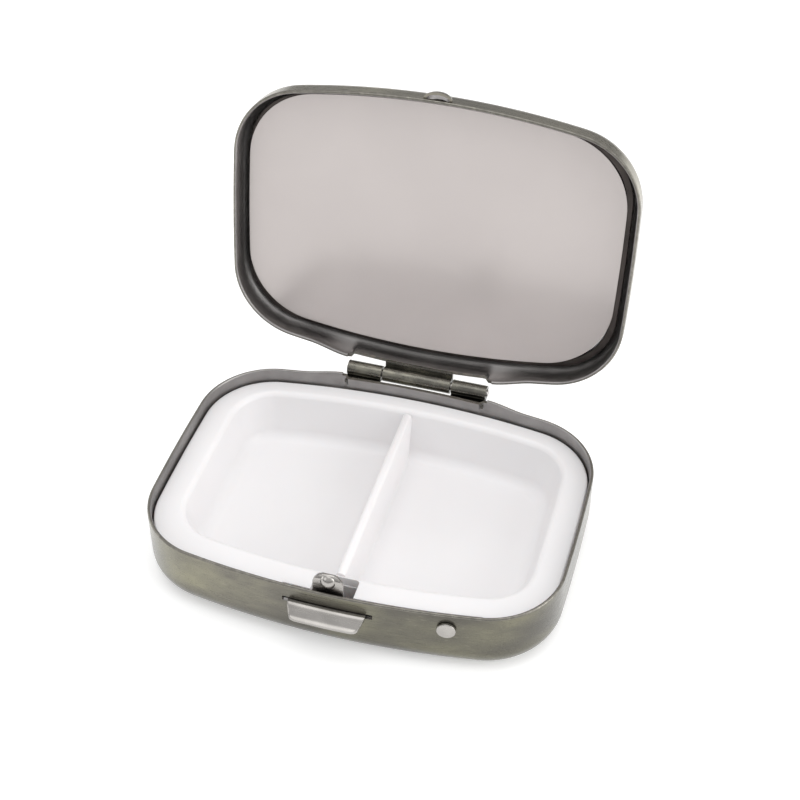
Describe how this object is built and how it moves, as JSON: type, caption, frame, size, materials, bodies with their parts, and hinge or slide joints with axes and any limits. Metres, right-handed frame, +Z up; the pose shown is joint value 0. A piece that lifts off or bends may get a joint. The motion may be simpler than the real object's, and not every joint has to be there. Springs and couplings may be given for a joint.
{
  "type": "pill box",
  "caption": "Pocket pill box: pressed metal base and hinged lid, moulded tray with a centre divider, mirror in the lid, sprung push-tab latch.",
  "frame": {"origin": "middle of the base's flat underside, under the crossing of its two symmetry lines", "axes": "+X to the right along the long side, +Y towards the hinge, +Z up"},
  "size_m": [0.055, 0.0548, 0.0512],
  "materials": {
    "antique_brass": "brushed antique brass, lacquered",
    "white_plastic": "white, soft gloss",
    "nickel_steel": "nickel plated",
    "dark_bezel": "dark plated",
    "mirror_glass": "silvered",
    "matte_film": "satin protective film",
    "grey_card": "plain card"
  },
  "bodies": {
    "base": {"base_shell": "antique_brass", "pill_tray": "white_plastic", "hinge_pin": "nickel_steel", "latch_rivet": "nickel_steel"},
    "lid": {"lid_shell": "antique_brass", "lid_bezel": "dark_bezel", "lid_mirror": "mirror_glass", "mirror_film": "matte_film", "mirror_pad": "grey_card"},
    "latch": {"latch_spring": "nickel_steel"}
  },
  "joints": [
    {"name": "lid_hinge", "type": "hinge", "parent": "base", "child": "lid", "pos_m": [0, 0.02136, 0.00982], "axis": [1, 0, 0], "range_deg": [0, 100]},
    {"name": "latch_press", "type": "hinge", "parent": "base", "child": "latch", "pos_m": [0.01479, -0.01801, 0.0075], "axis": [0, 0, -1], "range_deg": [0, 2], "stiffness_Nm_per_rad": 0.4}
  ]
}
